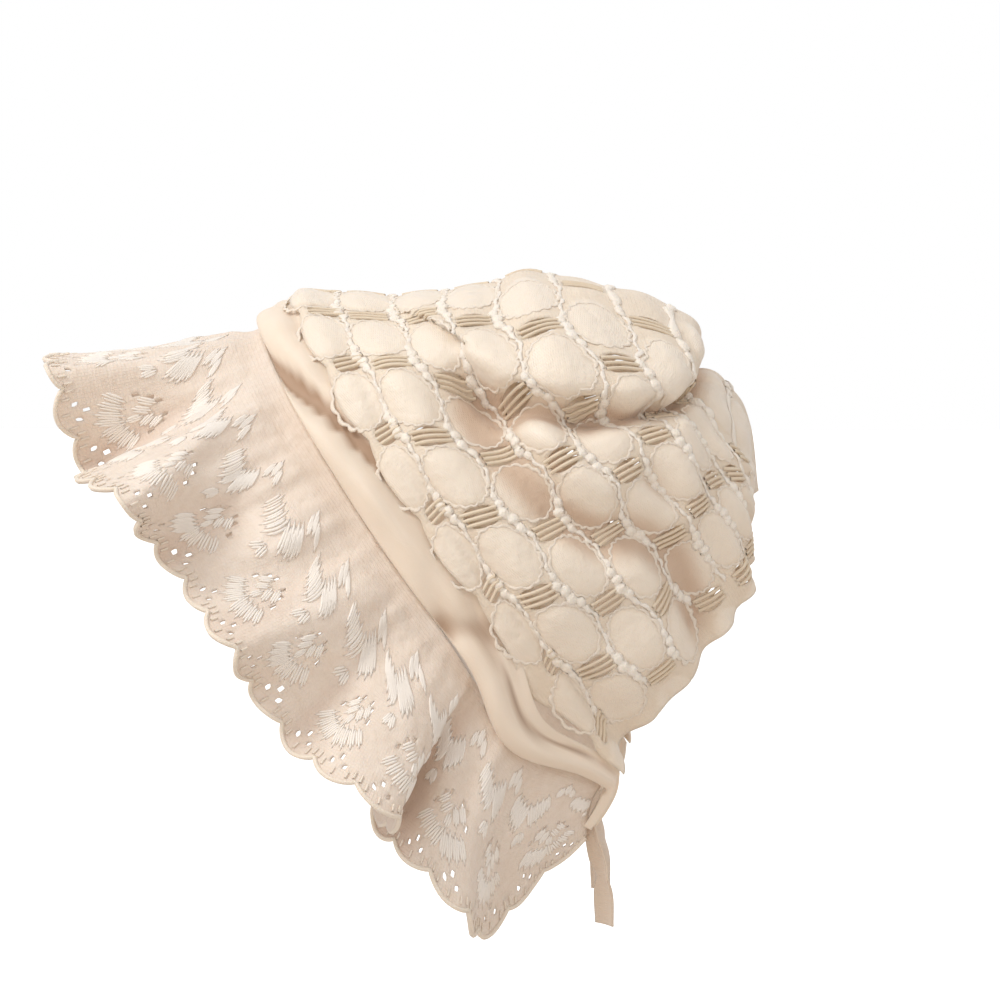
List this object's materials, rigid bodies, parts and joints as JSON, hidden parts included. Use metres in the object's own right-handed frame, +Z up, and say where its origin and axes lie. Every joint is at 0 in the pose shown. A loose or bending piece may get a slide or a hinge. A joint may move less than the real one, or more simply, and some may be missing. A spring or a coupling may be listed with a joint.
{
  "type": "baby bonnet",
  "caption": "Infant's bonnet of patterned lace with a plain puffed band, a wide scalloped lace ruffle round the face and ribbon ties, shaped as worn on a bowed head.",
  "frame": {"origin": "the inside of the crown at its highest point, where the top of the head rests", "axes": "+Z up, the face looks to -Y and down, +X to the wearer's left"},
  "size_m": [0.18, 0.1985, 0.1796],
  "materials": {
    "crown_lace": "cream patterned lace with satin ovals",
    "band_cloth": "plain soft cream cloth",
    "ruffle_lace": "cream leaf lace with a scalloped edge",
    "ribbon": "beige satin ribbon"
  },
  "bodies": {
    "root": {"crown": "crown_lace", "band": "band_cloth", "ruffle": "ruffle_lace", "tie_left": "ribbon", "tie_right": "ribbon"}
  },
  "joints": []
}
